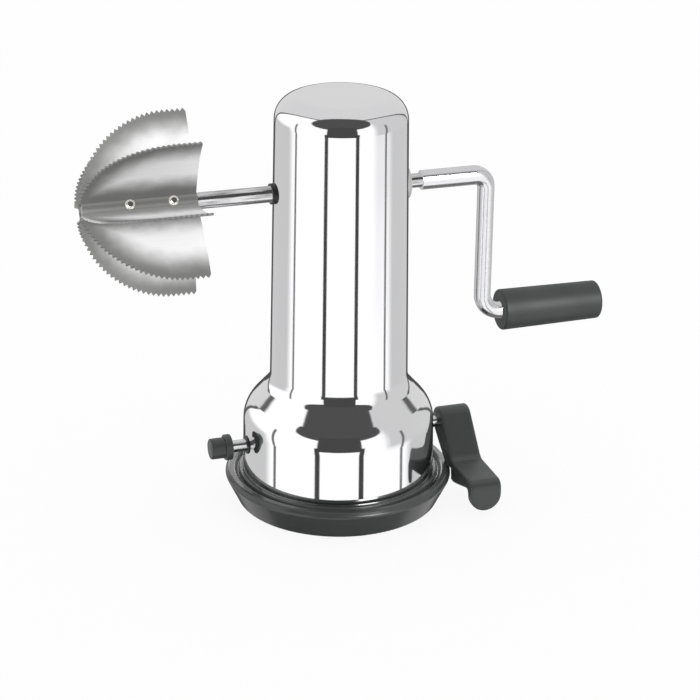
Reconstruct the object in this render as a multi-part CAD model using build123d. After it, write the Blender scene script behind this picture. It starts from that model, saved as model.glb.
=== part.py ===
from build123d import *
import math
import os

# Hand crank coconut grater on a suction base. Millimetres.
# Origin: centre of the underside, on the table. +Z up, +X along the shaft towards the crank,
# so the blade head is at -X, and the lever of the suction base swings out towards -Y.

# Fits: running is on the radius, gap is between pieces that move past each other
RUNNING = 0.05
GAP = 0.3

# Body: a drawn stainless tube, closed at the top, welded at a seam to a flared skirt
TOTAL_HEIGHT = 210.2
TUBE_TOP_RADIUS = 32.3
TUBE_BOTTOM_RADIUS = 34.5
TOP_CORNER_RADIUS = 11.5
CREASE_HEIGHT = 64.0
CREASE_RADIUS = 11.0
SHOULDER_HEIGHT = 49.3
SHOULDER_RADIUS = 18.0
SKIRT_BOTTOM_RADIUS = 48.4
SKIRT_TAPER = 0.6
SEAM_RISE = 6.0
BODY_SHEET = 1.0

# Base ring: moulded collar that the skirt is pressed into, standing on the table.
# Its widths are counted outwards from the skirt, the ledge inwards.
RING_FOOT_WIDTH = 2.4
RING_WIDEST_WIDTH = 9.0
RING_LIP_OUTER_WIDTH = 7.2
RING_LIP_INNER_WIDTH = 4.2
RING_GROOVE_WIDTH = 2.3
RING_BEAD_WIDTH = 1.5
RING_LIP_HEIGHT = 15.6
RING_LIP_DROP = 2.2
RING_GROOVE_DEPTH = 2.2
RING_FOOT_ROUNDING = 1.0
RING_SIDE_ROUNDING = 1.6
RING_LIP_ROUNDING = 1.0
RING_BEAD_ROUNDING = 0.4
LEDGE_WIDTH = 6.4
LEDGE_HEIGHT = 4.0

# Suction lift: a cam on the cross shaft raises a stirrup by this much
LIFT = 4.0
LEVER_SWING = 120.0
CROSS_SHAFT_HEIGHT = 33.0
CROSS_SHAFT_RADIUS = 3.0
CAM_WALL = 2.0
CAM_WIDTH = 8.0
CAM_STEPS = 6
CAM_PIN_RADIUS = 1.25
CAM_PIN_INSET = 0.2
STIRRUP_SIDE_GAP = 1.0
STIRRUP_WALL = 2.8
STIRRUP_ROUNDING = 1.2
STUD_RADIUS = 4.0
STUD_THREAD_RADIUS = 3.0
SPRING_WIRE_RADIUS = 0.6
SPRING_SIDE_GAP = 4.4
SPRING_LENGTH = 7.5
SPRING_TURNS = 3

# Suction pad, drawn pulled up, and the plate over it
PAD_SIDE_GAP = 1.0
PAD_LIP_WIDTH = 7.0
PAD_LIP_WALL = 2.2
PAD_CROWN_WALL = 3.5
PAD_CROWN_MARGIN = 0.5
PAD_ROUNDING = 1.5
PAD_RIM_ROUNDING = 0.8
PAD_DISC_RADIUS = 15.0
PAD_DISC_WALL = 1.5
PLATE_WALL = 3.0
PLATE_SIDE_GAP = 0.4
PLATE_FOOT_WIDTH = 7.1
PLATE_ROOF_RADIUS = 26.5
PLATE_RIM_ROUNDING = 0.4
PLATE_BEND_ROUNDING = 1.0
BASE_SCREWS = 4
FIRST_BASE_SCREW_ANGLE = 45.0
BASE_SCREW_RADIUS = 1.5
BASE_SCREW_HEAD = 2.6
BASE_SCREW_LENGTH = 6.4
BASE_SCREW_RECESS = 0.3

# Main shaft through the tube
SHAFT_HEIGHT = 163.9
SHAFT_RADIUS = 4.0
SHAFT_CHAMFER = 0.8
JOURNAL_STEP = 0.5
STUB_STEP = 0.5
STUB_LENGTH = 13.0
BLADE_BUSH_WALL = 1.1
BLADE_BUSH_PROUD = 2.6
CRANK_BUSH_WALL = 1.5
CRANK_BUSH_FLANGE_WIDTH = 3.3
CRANK_BUSH_PROUD = 0.9
INNER_FLANGE_WIDTH = 2.6
BUSH_DEPTH = 3.6
COLLAR_WALL = 3.0
COLLAR_LENGTH = 7.0
COLLAR_SCREW_RADIUS = 2.0
COLLAR_SCREW_INSET = 0.4
THRUST_WASHER_WIDTH = 3.0
THRUST_WASHER_WALL = 1.3

# Blade head: channels of toothed sheet, welded round the shaft
CHANNELS = 4
CHANNEL_TURN = 33.5
TEETH_RADIUS = 44.8
HEAD_STANDOFF = 39.5
HEAD_STRAIGHT = 13.0
HEAD_BACK_SLANT = 2.5
SHAFT_NOSE_INSET = 2.8
BLADE_SHEET = 1.0
TOOTH_PITCH = 2.5
TOOTH_DEPTH = 1.5
WING_SPREAD = 45.0
WING_DISH = 2.0
SADDLE_HALF_ANGLE = 36.0
WELDS_PER_CHANNEL = 2
FIRST_WELD = 11.8
WELD_PITCH = 21.1
WELD_RADIUS = 2.4
WELD_CROWN_RADIUS = 1.4
WELD_PROUD = 1.2
WELD_SIDE_PROUD = 0.5
WELD_ROUNDING = 0.4

# Crank and grip
CRANK_STANDOFF = 8.2
SOCKET_RADIUS = 4.8
CRANK_RADIUS = 4.2
CRANK_REACH = 34.5
CRANK_THROW = 73.2
UPPER_BEND = 6.8
LOWER_BEND = 9.5
SPINDLE_STEP = 0.8
GRIP_STANDOFF = 0.2
GRIP_LENGTH = 53.0
GRIP_START_RADIUS = 10.4
GRIP_END_RADIUS = 9.7
GRIP_START_ROUNDING = 1.0
GRIP_END_ROUNDING = 1.4
GRIP_SHOULDER = 4.0
GRIP_POCKET_RADIUS = 6.0
GRIP_POCKET_DEPTH = 8.0
GRIP_CAP_WALL = 2.4
GRIP_SCREW_RADIUS = 1.5
GRIP_SCREW_HEAD = 3.0
GRIP_SCREW_HEAD_WALL = 2.0
GRIP_SCREW_LENGTH = 10.0
GRIP_WASHER_WALL = 1.0

# Cross shaft, its bushes, end knob and lever
CROSS_BUSH_WALL = 1.6
CROSS_BUSH_DEPTH = 2.6
CROSS_BUSH_PROUD = 0.4
CLIP_WIDTH = 2.5
CLIP_WALL = 0.8
CLIP_GROOVE = 0.4
KNOB_STANDOFF = 8.4
KNOB_FLANGE_WALL = 3.4
KNOB_FLANGE_RADIUS = 6.5
KNOB_FLANGE_ROUNDING = 0.5
KNOB_RADIUS = 5.25
KNOB_ROUNDING = 0.9
KNOB_LENGTH = 10.8
KNOB_END_WALL = 2.6
LEVER_STANDOFF = 5.3
LEVER_WIDTH = 16.4
LEVER_HUB_RADIUS = 7.4
LEVER_DROP = 48.0
LEVER_ARM_LENGTH = 24.0
LEVER_TREAD_LENGTH = 28.8
LEVER_HEEL_DEPTH = 12.0
LEVER_TOE_WALL = 5.0
LEVER_TIP_DROP = 15.9
LEVER_KNEE_ROUNDING = 6.0
LEVER_HEEL_ROUNDING = 4.0
LEVER_TOE_ROUNDING = 4.6
LEVER_CROTCH_ROUNDING = 2.0
LEVER_EDGE_RADIUS = 1.3
LEVER_SCREW_RADIUS = 2.0
LEVER_SCREW_HEAD = 3.6
LEVER_SCREW_HEAD_WALL = 2.2
LEVER_SCREW_LENGTH = 10.0
LEVER_WASHER_WIDTH = 2.6
LEVER_WASHER_WALL = 0.8
LEVER_WEB = 3.6
SHAFT_FLAT = 2.3


def turned(corners):
    """Solid of revolution about Z; each corner is (radius, height, rounding)."""
    outline = make_face(Polyline(*[(radius, height) for radius, height, _ in corners], close=True))
    for radius, height, rounding in corners:
        if rounding:
            corner = outline.vertices().sort_by_distance((radius, height, 0))[0]
            outline = fillet(corner, rounding)
    return revolve(Plane.XZ * outline, Axis.Z)


def rod(radius, start, end):
    """Round rod on the Z axis between two heights."""
    return Pos(0, 0, start) * Cylinder(radius, end - start, align=(Align.CENTER, Align.CENTER, Align.MIN))


def along_x(shape, height):
    """Lay a shape made on the Z axis along +X at a height above the table."""
    return Pos(0, 0, height) * Rot(0, 90, 0) * shape


def tube_radius(height):
    """Outside radius of the tapered tube at a height."""
    share = (height - CREASE_HEIGHT) / (TOTAL_HEIGHT - CREASE_HEIGHT)
    return TUBE_BOTTOM_RADIUS + share * (TUBE_TOP_RADIUS - TUBE_BOTTOM_RADIUS)


def skirt_radius(height):
    """Outside radius of the skirt at a height."""
    share = (height - LEDGE_HEIGHT) / (SHOULDER_HEIGHT - LEDGE_HEIGHT)
    return SKIRT_BOTTOM_RADIUS - share * SKIRT_TAPER


def body_volume(inset):
    """Everything inside the body's surface, moved in by inset."""
    skirt_top = skirt_radius(SHOULDER_HEIGHT)
    lean = math.atan2(skirt_top - TUBE_BOTTOM_RADIUS, CREASE_HEIGHT - SHOULDER_HEIGHT)
    drop = inset * math.tan(lean / 2)
    return turned([
        (0, LEDGE_HEIGHT, 0),
        (SKIRT_BOTTOM_RADIUS - inset, LEDGE_HEIGHT, 0),
        (skirt_top - inset, SHOULDER_HEIGHT - drop, SHOULDER_RADIUS - inset),
        (TUBE_BOTTOM_RADIUS - inset, CREASE_HEIGHT - drop, CREASE_RADIUS + inset),
        (TUBE_TOP_RADIUS - inset, TOTAL_HEIGHT - inset, TOP_CORNER_RADIUS - inset),
        (0, TOTAL_HEIGHT - inset, 0),
    ])


BODY_OUTSIDE = body_volume(0)
BODY_INSIDE = body_volume(BODY_SHEET)
ABOVE_SEAM = rod(2 * SKIRT_BOTTOM_RADIUS, CREASE_HEIGHT + SEAM_RISE, 2 * TOTAL_HEIGHT)
TUBE_WALL_X = tube_radius(SHAFT_HEIGHT)
SKIRT_WALL_X = skirt_radius(CROSS_SHAFT_HEIGHT)

# Base: the ledge's bore holds the pad, and the plate's roof leaves room for the spring
LEDGE_RADIUS = SKIRT_BOTTOM_RADIUS - LEDGE_WIDTH
RING_WIDEST_RADIUS = SKIRT_BOTTOM_RADIUS + RING_WIDEST_WIDTH
PAD_RADIUS = LEDGE_RADIUS - PAD_SIDE_GAP
PAD_TOP = LIFT + PAD_CROWN_WALL
DISC_TOP = PAD_TOP + PAD_DISC_WALL
THREAD_BOTTOM = LIFT + PAD_CROWN_WALL / 2
PLATE_ROOF_HEIGHT = DISC_TOP + SPRING_LENGTH
CAM_LOW_RADIUS = CROSS_SHAFT_RADIUS + CAM_WALL
CAM_HIGH_RADIUS = CAM_LOW_RADIUS + LIFT

# Main shaft: places along X, counted from the tube's wall at the shaft's height
BUSH_INNER_END = TUBE_WALL_X - BODY_SHEET - BUSH_DEPTH
HEAD_BACK = -(TUBE_WALL_X + HEAD_STANDOFF)
DOME_CENTRE = HEAD_BACK - HEAD_STRAIGHT
CRANK_FACE = TUBE_WALL_X + CRANK_STANDOFF
CRANK_X = CRANK_FACE + CRANK_REACH
GRIP_AXIS_HEIGHT = SHAFT_HEIGHT - CRANK_THROW
GRIP_START = CRANK_X + LOWER_BEND + GRIP_STANDOFF
GRIP_END = GRIP_START + GRIP_LENGTH
SPINDLE_END = GRIP_END - GRIP_POCKET_DEPTH + GAP
JOURNAL_RADIUS = SHAFT_RADIUS - JOURNAL_STEP
STUB_RADIUS = JOURNAL_RADIUS - STUB_STEP
SPINDLE_RADIUS = CRANK_RADIUS - SPINDLE_STEP
BLADE_BUSH_RADIUS = SHAFT_RADIUS + BLADE_BUSH_WALL
CRANK_BUSH_RADIUS = JOURNAL_RADIUS + CRANK_BUSH_WALL

# Cross shaft: places along X, counted from the skirt's wall at the cross shaft's height
CROSS_BUSH_RADIUS = CROSS_SHAFT_RADIUS + CROSS_BUSH_WALL
CROSS_BUSH_INNER_END = SKIRT_WALL_X - BODY_SHEET - CROSS_BUSH_DEPTH
KNOB_START = -(SKIRT_WALL_X + KNOB_STANDOFF)
LEVER_START = SKIRT_WALL_X + LEVER_STANDOFF
LEVER_END = LEVER_START + LEVER_WIDTH
LEVER_POCKET = LEVER_END - LEVER_SCREW_HEAD_WALL - LEVER_WASHER_WALL
LEVER_SEAT = LEVER_POCKET - LEVER_WEB


def body_tube():
    """Drawn tube with a closed top and a hole on each side for the main shaft's bushes."""
    tube = (BODY_OUTSIDE - BODY_INSIDE) & ABOVE_SEAM
    tube -= along_x(rod(BLADE_BUSH_RADIUS, -2 * TUBE_WALL_X, 0), SHAFT_HEIGHT)
    return tube - along_x(rod(CRANK_BUSH_RADIUS, 0, 2 * TUBE_WALL_X), SHAFT_HEIGHT)


def body_skirt():
    """Flared skirt below the seam, with a hole on each side for the cross shaft's bushes."""
    skirt = BODY_OUTSIDE - BODY_INSIDE - ABOVE_SEAM
    return skirt - along_x(rod(CROSS_BUSH_RADIUS, -2 * SKIRT_WALL_X, 2 * SKIRT_WALL_X), CROSS_SHAFT_HEIGHT)


def base_screws():
    """Countersunk screws, driven up through the ring's ledge into the base plate."""
    neck = BASE_SCREW_RECESS + BASE_SCREW_HEAD - BASE_SCREW_RADIUS
    screw = turned([
        (0, BASE_SCREW_RECESS, 0),
        (BASE_SCREW_HEAD, BASE_SCREW_RECESS, 0),
        (BASE_SCREW_RADIUS, neck, 0),
        (BASE_SCREW_RADIUS, BASE_SCREW_LENGTH, 0),
        (0, BASE_SCREW_LENGTH, 0),
    ])
    circle = (LEDGE_RADIUS + SKIRT_BOTTOM_RADIUS - BODY_SHEET) / 2
    return [place * screw for place in PolarLocations(circle, BASE_SCREWS, FIRST_BASE_SCREW_ANGLE)]


def base_ring(screws):
    """Ring with a ledge for skirt and plate, a bead, a groove and a rounded lip that leans out."""
    skirt = SKIRT_BOTTOM_RADIUS
    ring = turned([
        (LEDGE_RADIUS, 0, 0),
        (skirt + RING_FOOT_WIDTH, 0, RING_FOOT_ROUNDING),
        (RING_WIDEST_RADIUS, RING_LIP_HEIGHT - RING_LIP_DROP, RING_SIDE_ROUNDING),
        (skirt + RING_LIP_OUTER_WIDTH, RING_LIP_HEIGHT, RING_LIP_ROUNDING),
        (skirt + RING_LIP_INNER_WIDTH, RING_LIP_HEIGHT, RING_LIP_ROUNDING),
        (skirt + RING_GROOVE_WIDTH, RING_LIP_HEIGHT - RING_GROOVE_DEPTH, RING_BEAD_ROUNDING),
        (skirt + RING_BEAD_WIDTH, RING_LIP_HEIGHT, RING_BEAD_ROUNDING),
        (skirt, RING_LIP_HEIGHT, 0),
        (skirt, LEDGE_HEIGHT, 0),
        (LEDGE_RADIUS, LEDGE_HEIGHT, 0),
    ])
    for screw in screws:
        ring -= screw
        ring -= Pos(screw.center().X, screw.center().Y, 0) * rod(BASE_SCREW_HEAD, 0, BASE_SCREW_RECESS)
    return ring


def base_plate(screws):
    """Domed plate on the ring's ledge: its foot presses the pad's lip, its roof guides the stud."""
    rim = skirt_radius(LEDGE_HEIGHT + PLATE_WALL) - BODY_SHEET - RUNNING
    foot = PAD_LIP_WALL + GAP
    foot_outer = LEDGE_RADIUS - PLATE_SIDE_GAP
    foot_inner = foot_outer - PLATE_FOOT_WIDTH
    roof = PLATE_ROOF_HEIGHT + PLATE_WALL
    plate = turned([
        (rim, LEDGE_HEIGHT, 0),
        (rim, LEDGE_HEIGHT + PLATE_WALL, PLATE_RIM_ROUNDING),
        (foot_inner + PLATE_WALL, LEDGE_HEIGHT + PLATE_WALL, PLATE_BEND_ROUNDING),
        (PLATE_ROOF_RADIUS + PLATE_WALL, roof, PLATE_BEND_ROUNDING),
        (STUD_RADIUS + RUNNING, roof, 0),
        (STUD_RADIUS + RUNNING, PLATE_ROOF_HEIGHT, 0),
        (PLATE_ROOF_RADIUS, PLATE_ROOF_HEIGHT, PLATE_BEND_ROUNDING),
        (foot_inner, foot, PLATE_RIM_ROUNDING),
        (foot_outer, foot, PLATE_RIM_ROUNDING),
        (foot_outer, LEDGE_HEIGHT, 0),
    ])
    for screw in screws:
        plate -= screw
    return plate


def suction_pad():
    """Rubber disc with a flat sealing lip and a crown bonded under the steel pad disc."""
    crown = PAD_DISC_RADIUS + PAD_CROWN_MARGIN
    lip = PAD_RADIUS - PAD_LIP_WIDTH
    pad = turned([
        (0, LIFT, 0),
        (crown, LIFT, PAD_ROUNDING),
        (lip, 0, PAD_ROUNDING),
        (PAD_RADIUS, 0, 0),
        (PAD_RADIUS, PAD_LIP_WALL, PAD_RIM_ROUNDING),
        (lip, PAD_LIP_WALL, PAD_ROUNDING),
        (crown, PAD_TOP, 0),
        (0, PAD_TOP, 0),
    ])
    return pad - rod(STUD_THREAD_RADIUS + RUNNING, THREAD_BOTTOM, PAD_TOP)


def pad_disc():
    """Steel disc bonded to the pad's crown, threaded for the stud."""
    return rod(PAD_DISC_RADIUS, PAD_TOP, DISC_TOP) - rod(STUD_THREAD_RADIUS, PAD_TOP, DISC_TOP)


def pull_stud():
    """Stirrup round the cam, with a guided stem that screws into the pad disc."""
    roof = CROSS_SHAFT_HEIGHT + CAM_HIGH_RADIUS + GAP
    floor = CROSS_SHAFT_HEIGHT - CAM_LOW_RADIUS - GAP
    opening = CAM_HIGH_RADIUS + STIRRUP_SIDE_GAP
    outer = Box(CAM_WIDTH, 2 * (opening + STIRRUP_WALL), roof - floor + 2 * STIRRUP_WALL)
    window = Box(CAM_WIDTH, 2 * opening, roof - floor)
    stirrup = fillet((outer - window).edges().filter_by(Axis.X), STIRRUP_ROUNDING)
    stem = rod(STUD_RADIUS, DISC_TOP, floor - STIRRUP_WALL)
    thread = rod(STUD_THREAD_RADIUS, THREAD_BOTTOM, DISC_TOP)
    return Pos(0, 0, (roof + floor) / 2) * stirrup + stem + thread


def return_spring():
    """Coil between the pad disc and the plate's roof that pushes the pad down again."""
    rise = SPRING_LENGTH - 2 * SPRING_WIRE_RADIUS
    radius = STUD_RADIUS + SPRING_SIDE_GAP + SPRING_WIRE_RADIUS
    coil = Helix(pitch=rise / SPRING_TURNS, height=rise, radius=radius)
    section = Plane(origin=coil @ 0, z_dir=coil % 0) * Circle(SPRING_WIRE_RADIUS)
    return Pos(0, 0, DISC_TOP + SPRING_WIRE_RADIUS) * sweep(section, path=coil, is_frenet=True)


def cam_flank(turn):
    """Point (y, z) where the cam's flank bears on the stirrup after the lever turns this far."""
    fall = LIFT / math.radians(LEVER_SWING)
    reach = CAM_HIGH_RADIUS - fall * turn
    return (
        -reach * math.sin(turn) + fall * math.cos(turn),
        reach * math.cos(turn) + fall * math.sin(turn),
    )


def cam():
    """Cam whose lift falls evenly with the lever's swing, so its flank is an involute."""
    swing = math.radians(LEVER_SWING)
    heel = (-CAM_LOW_RADIUS * math.sin(swing), CAM_LOW_RADIUS * math.cos(swing))
    outline = Spline(*[cam_flank(swing * step / CAM_STEPS) for step in range(CAM_STEPS + 1)])
    outline += Line(cam_flank(swing), heel)
    outline += ThreePointArc(heel, (0, -CAM_LOW_RADIUS), (CAM_LOW_RADIUS, 0))
    outline += Line((CAM_LOW_RADIUS, 0), cam_flank(0))
    blank = Pos(0, 0, CROSS_SHAFT_HEIGHT) * extrude(Plane.YZ * make_face(outline), CAM_WIDTH / 2, both=True)
    return blank - along_x(rod(CROSS_SHAFT_RADIUS, -CAM_WIDTH, CAM_WIDTH), CROSS_SHAFT_HEIGHT) - cam_pin()


def cam_pin():
    """Spring pin across cam and cross shaft."""
    reach = CAM_LOW_RADIUS - CAM_PIN_INSET
    return Pos(0, 0, CROSS_SHAFT_HEIGHT) * Rot(90, 0, 0) * rod(CAM_PIN_RADIUS, -reach, reach)


def clip_places():
    """Start of each clip groove along the cross shaft."""
    return (-(CROSS_BUSH_INNER_END - GAP), CROSS_BUSH_INNER_END - GAP - CLIP_WALL)


def cross_shaft():
    """Shaft through the skirt: threaded at the knob, grooved for clips, flatted at the lever."""
    right = LEVER_SEAT - GAP
    shaft = rod(CROSS_SHAFT_RADIUS, KNOB_START - KNOB_LENGTH + KNOB_END_WALL, right)
    for groove in clip_places():
        ring = rod(CROSS_SHAFT_RADIUS, groove, groove + CLIP_WALL)
        shaft -= ring - rod(CROSS_SHAFT_RADIUS - CLIP_GROOVE, groove, groove + CLIP_WALL)
    shaft -= rod(LEVER_SCREW_RADIUS, LEVER_POCKET - LEVER_SCREW_LENGTH, right)
    return along_x(shaft, CROSS_SHAFT_HEIGHT) - shaft_flat(right) - cam_pin()


def shaft_flat(end):
    """The segment of the cross shaft that is milled away inside the lever's hub."""
    flat = Box(end - LEVER_START, 2 * CROSS_SHAFT_RADIUS, CROSS_SHAFT_RADIUS)
    return Pos((end + LEVER_START) / 2, 0, CROSS_SHAFT_HEIGHT + SHAFT_FLAT + CROSS_SHAFT_RADIUS / 2) * flat


def cross_clips():
    """One retaining clip inside each bush."""
    bore = CROSS_SHAFT_RADIUS - CLIP_GROOVE
    outer = CROSS_SHAFT_RADIUS + CLIP_WIDTH
    clip = along_x(rod(outer, 0, CLIP_WALL) - rod(bore, 0, CLIP_WALL), CROSS_SHAFT_HEIGHT)
    return [Pos(place, 0, 0) * clip for place in clip_places()]


def cross_bushes():
    """Two flanged bushes for the cross shaft, pushed into the skirt from inside."""
    inner = CROSS_BUSH_INNER_END
    outer = SKIRT_WALL_X + CROSS_BUSH_PROUD
    flange = rod(CROSS_BUSH_RADIUS + INNER_FLANGE_WIDTH, inner, SKIRT_WALL_X)
    flange = along_x(flange, CROSS_SHAFT_HEIGHT) & BODY_INSIDE
    sleeve = along_x(rod(CROSS_BUSH_RADIUS, inner, outer), CROSS_SHAFT_HEIGHT)
    bush = sleeve + flange - along_x(rod(CROSS_SHAFT_RADIUS + RUNNING, inner, outer), CROSS_SHAFT_HEIGHT)
    return [bush, Rot(0, 0, 180) * bush]


def blade_bush():
    """Black bush on the blade side: its sleeve stands out of the tube, its flange is inside."""
    outer = TUBE_WALL_X + BLADE_BUSH_PROUD
    sleeve = along_x(rod(BLADE_BUSH_RADIUS, -outer, -BUSH_INNER_END), SHAFT_HEIGHT)
    flange = rod(BLADE_BUSH_RADIUS + INNER_FLANGE_WIDTH, -TUBE_WALL_X, -BUSH_INNER_END)
    flange = along_x(flange, SHAFT_HEIGHT) & BODY_INSIDE
    return sleeve + flange - along_x(rod(SHAFT_RADIUS + RUNNING, -outer, -BUSH_INNER_END), SHAFT_HEIGHT)


def crank_bush():
    """Bush on the crank side, with a thin saddle flange against the outside of the tube."""
    outer = TUBE_WALL_X + CRANK_BUSH_PROUD
    sleeve = along_x(rod(CRANK_BUSH_RADIUS, BUSH_INNER_END, outer), SHAFT_HEIGHT)
    flange = rod(CRANK_BUSH_RADIUS + CRANK_BUSH_FLANGE_WIDTH, BUSH_INNER_END, outer)
    flange = along_x(flange, SHAFT_HEIGHT) - BODY_OUTSIDE
    return sleeve + flange - along_x(rod(JOURNAL_RADIUS + RUNNING, BUSH_INNER_END, outer), SHAFT_HEIGHT)


def drive_shaft():
    """Main shaft: full size from the nose to the thrust washer, then journal and threaded stub."""
    tip = DOME_CENTRE - TEETH_RADIUS + SHAFT_NOSE_INSET
    shoulder = BUSH_INNER_END - GAP - THRUST_WASHER_WALL
    shaft = turned([
        (0, tip, 0),
        (SHAFT_RADIUS - SHAFT_CHAMFER, tip, 0),
        (SHAFT_RADIUS, tip + SHAFT_CHAMFER, 0),
        (SHAFT_RADIUS, shoulder, 0),
        (JOURNAL_RADIUS, shoulder, 0),
        (JOURNAL_RADIUS, CRANK_FACE, 0),
        (STUB_RADIUS, CRANK_FACE, 0),
        (STUB_RADIUS, CRANK_FACE + STUB_LENGTH, 0),
        (0, CRANK_FACE + STUB_LENGTH, 0),
    ])
    return along_x(shaft, SHAFT_HEIGHT)


def thrust_washer():
    """Washer on the journal, between the shaft's shoulder and the crank side bush."""
    end = BUSH_INNER_END - GAP
    start = end - THRUST_WASHER_WALL
    washer = rod(JOURNAL_RADIUS + THRUST_WASHER_WIDTH, start, end) - rod(JOURNAL_RADIUS, start, end)
    return along_x(washer, SHAFT_HEIGHT)


def collar_screw():
    """Grub screw that locks the collar on the shaft."""
    middle = COLLAR_LENGTH / 2 - BUSH_INNER_END + GAP
    outer = SHAFT_RADIUS + COLLAR_WALL - COLLAR_SCREW_INSET
    return Pos(middle, 0, SHAFT_HEIGHT) * rod(COLLAR_SCREW_RADIUS, SHAFT_RADIUS, outer)


def shaft_collar():
    """Collar on the shaft inside the tube that stops it sliding out."""
    start = GAP - BUSH_INNER_END
    outer = SHAFT_RADIUS + COLLAR_WALL
    collar = rod(outer, start, start + COLLAR_LENGTH) - rod(SHAFT_RADIUS, start, start + COLLAR_LENGTH)
    hole = Pos(start + COLLAR_LENGTH / 2, 0, SHAFT_HEIGHT) * rod(COLLAR_SCREW_RADIUS, 0, outer)
    return along_x(collar, SHAFT_HEIGHT) - hole


def rim_point(travel, depth):
    """Point (x, radius) on the head's outline: straight from the back, then a quarter circle."""
    straight = HEAD_STRAIGHT - HEAD_BACK_SLANT
    reach = TEETH_RADIUS - depth
    if travel < straight:
        return (DOME_CENTRE + straight - travel, reach)
    turn = (travel - straight) / TEETH_RADIUS
    return (DOME_CENTRE - reach * math.sin(turn), reach * math.cos(turn))


def toothed_outline():
    """Outline of one wing in its own plane: slanted back edge, teeth, and the nose at the shaft."""
    straight = HEAD_STRAIGHT - HEAD_BACK_SLANT
    nose = math.acos((SHAFT_RADIUS + BLADE_SHEET) / TEETH_RADIUS)
    teeth = int((straight + TEETH_RADIUS * nose) / TOOTH_PITCH)
    points = [(HEAD_BACK, 0)]
    for tooth in range(teeth):
        points.append(rim_point(tooth * TOOTH_PITCH, TOOTH_DEPTH))
        points.append(rim_point(tooth * TOOTH_PITCH + TOOTH_PITCH / 2, 0))
    points.append(rim_point(teeth * TOOTH_PITCH, TOOTH_DEPTH))
    points.append((points[-1][0], 0))
    return make_face(Polyline(*points, close=True))


def blade_channel():
    """One channel, facing up round an X shaft at the origin: a saddle and two dished toothed wings."""
    saddle_radius = SHAFT_RADIUS + BLADE_SHEET / 2
    bend = math.radians(SADDLE_HALF_ANGLE)
    fold = (saddle_radius * math.sin(bend), saddle_radius * math.cos(bend))
    spread = math.radians(WING_SPREAD / 2)
    tip = (TEETH_RADIUS * math.sin(spread), TEETH_RADIUS * math.cos(spread))
    chord = math.atan2(tip[0] - fold[0], tip[1] - fold[1])
    middle = (
        (fold[0] + tip[0]) / 2 + WING_DISH * math.cos(chord),
        (fold[1] + tip[1]) / 2 - WING_DISH * math.sin(chord),
    )
    front = DOME_CENTRE - TEETH_RADIUS
    length = HEAD_BACK - front
    section = trace(ThreePointArc(fold, middle, tip), BLADE_SHEET)
    sheet = Pos(front, 0, 0) * extrude(Plane.YZ * section, length)
    plane = Plane(origin=(0, 0, 0), x_dir=(1, 0, 0), z_dir=(0, -math.cos(spread), math.sin(spread)))
    outline = toothed_outline()
    wing = sheet & extrude(plane * outline, TEETH_RADIUS / 2, both=True)
    saddle_front = outline.bounding_box().min.X + TOOTH_DEPTH
    saddle_arc = ThreePointArc((-fold[0], fold[1]), (0, saddle_radius), fold)
    saddle = extrude(Plane.YZ * trace(saddle_arc, BLADE_SHEET), HEAD_BACK - saddle_front)
    saddle = Pos(saddle_front, 0, 0) * saddle
    crease = Pos(0, fold[0], fold[1]) * Rot(0, 90, 0) * rod(BLADE_SHEET / 2, saddle_front, HEAD_BACK)
    half = wing + crease
    return saddle + half + mirror(half, Plane.XZ)


def channel_places():
    """Turn and lift that carry a channel from the origin to each of its places on the shaft."""
    first = 90 - CHANNEL_TURN
    return [Pos(0, 0, SHAFT_HEIGHT) * Rot(first + step * 360 / CHANNELS, 0, 0) for step in range(CHANNELS)]


def blade_welds():
    """Weld beads that hold each channel's saddle to the shaft."""
    seat = SHAFT_RADIUS + BLADE_SHEET
    bead = turned([
        (0, SHAFT_RADIUS, 0),
        (WELD_RADIUS, SHAFT_RADIUS, 0),
        (WELD_RADIUS, seat + WELD_SIDE_PROUD, WELD_ROUNDING),
        (WELD_CROWN_RADIUS, seat + WELD_PROUD, WELD_ROUNDING),
        (0, seat + WELD_PROUD, 0),
    ])
    bead -= Rot(0, 90, 0) * rod(seat, -WELD_PITCH, WELD_PITCH)
    places = [HEAD_BACK - FIRST_WELD - step * WELD_PITCH for step in range(WELDS_PER_CHANNEL)]
    return [channel_place * Pos(x, 0, 0) * bead for channel_place in channel_places() for x in places]


def crank_arm():
    """Bent crank: drilled socket end, tapering bend, arm, second bend, and the grip's spindle."""
    upper_end = CRANK_X - UPPER_BEND
    lower_start = GRIP_AXIS_HEIGHT + LOWER_BEND
    shoulder = GRIP_START + GRIP_SHOULDER - GAP
    socket = rod(SOCKET_RADIUS, CRANK_FACE, upper_end)
    socket -= rod(STUB_RADIUS, CRANK_FACE, CRANK_FACE + STUB_LENGTH)
    start = Plane(origin=(upper_end, 0, SHAFT_HEIGHT), z_dir=(1, 0, 0)) * Circle(SOCKET_RADIUS)
    stop = Plane(origin=(CRANK_X, 0, SHAFT_HEIGHT - UPPER_BEND), z_dir=(0, 0, -1)) * Circle(CRANK_RADIUS)
    path = Plane.XZ * Edge.make_circle(UPPER_BEND, start_angle=0, end_angle=90)
    path = Pos(upper_end, 0, SHAFT_HEIGHT - UPPER_BEND) * path
    bend = sweep([start.face(), stop.face()], path=path, multisection=True)
    arm = Pos(CRANK_X, 0, 0) * rod(CRANK_RADIUS, lower_start, SHAFT_HEIGHT - UPPER_BEND)
    elbow_axis = Axis((CRANK_X + LOWER_BEND, 0, lower_start), (0, -1, 0))
    elbow = revolve(Pos(CRANK_X, 0, lower_start) * Circle(CRANK_RADIUS), elbow_axis, 90)
    spindle = rod(CRANK_RADIUS, CRANK_X + LOWER_BEND, shoulder) + rod(SPINDLE_RADIUS, shoulder, SPINDLE_END)
    crank = along_x(socket, SHAFT_HEIGHT) + bend + arm + elbow + along_x(spindle, GRIP_AXIS_HEIGHT)
    return crank - grip_screw()


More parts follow.
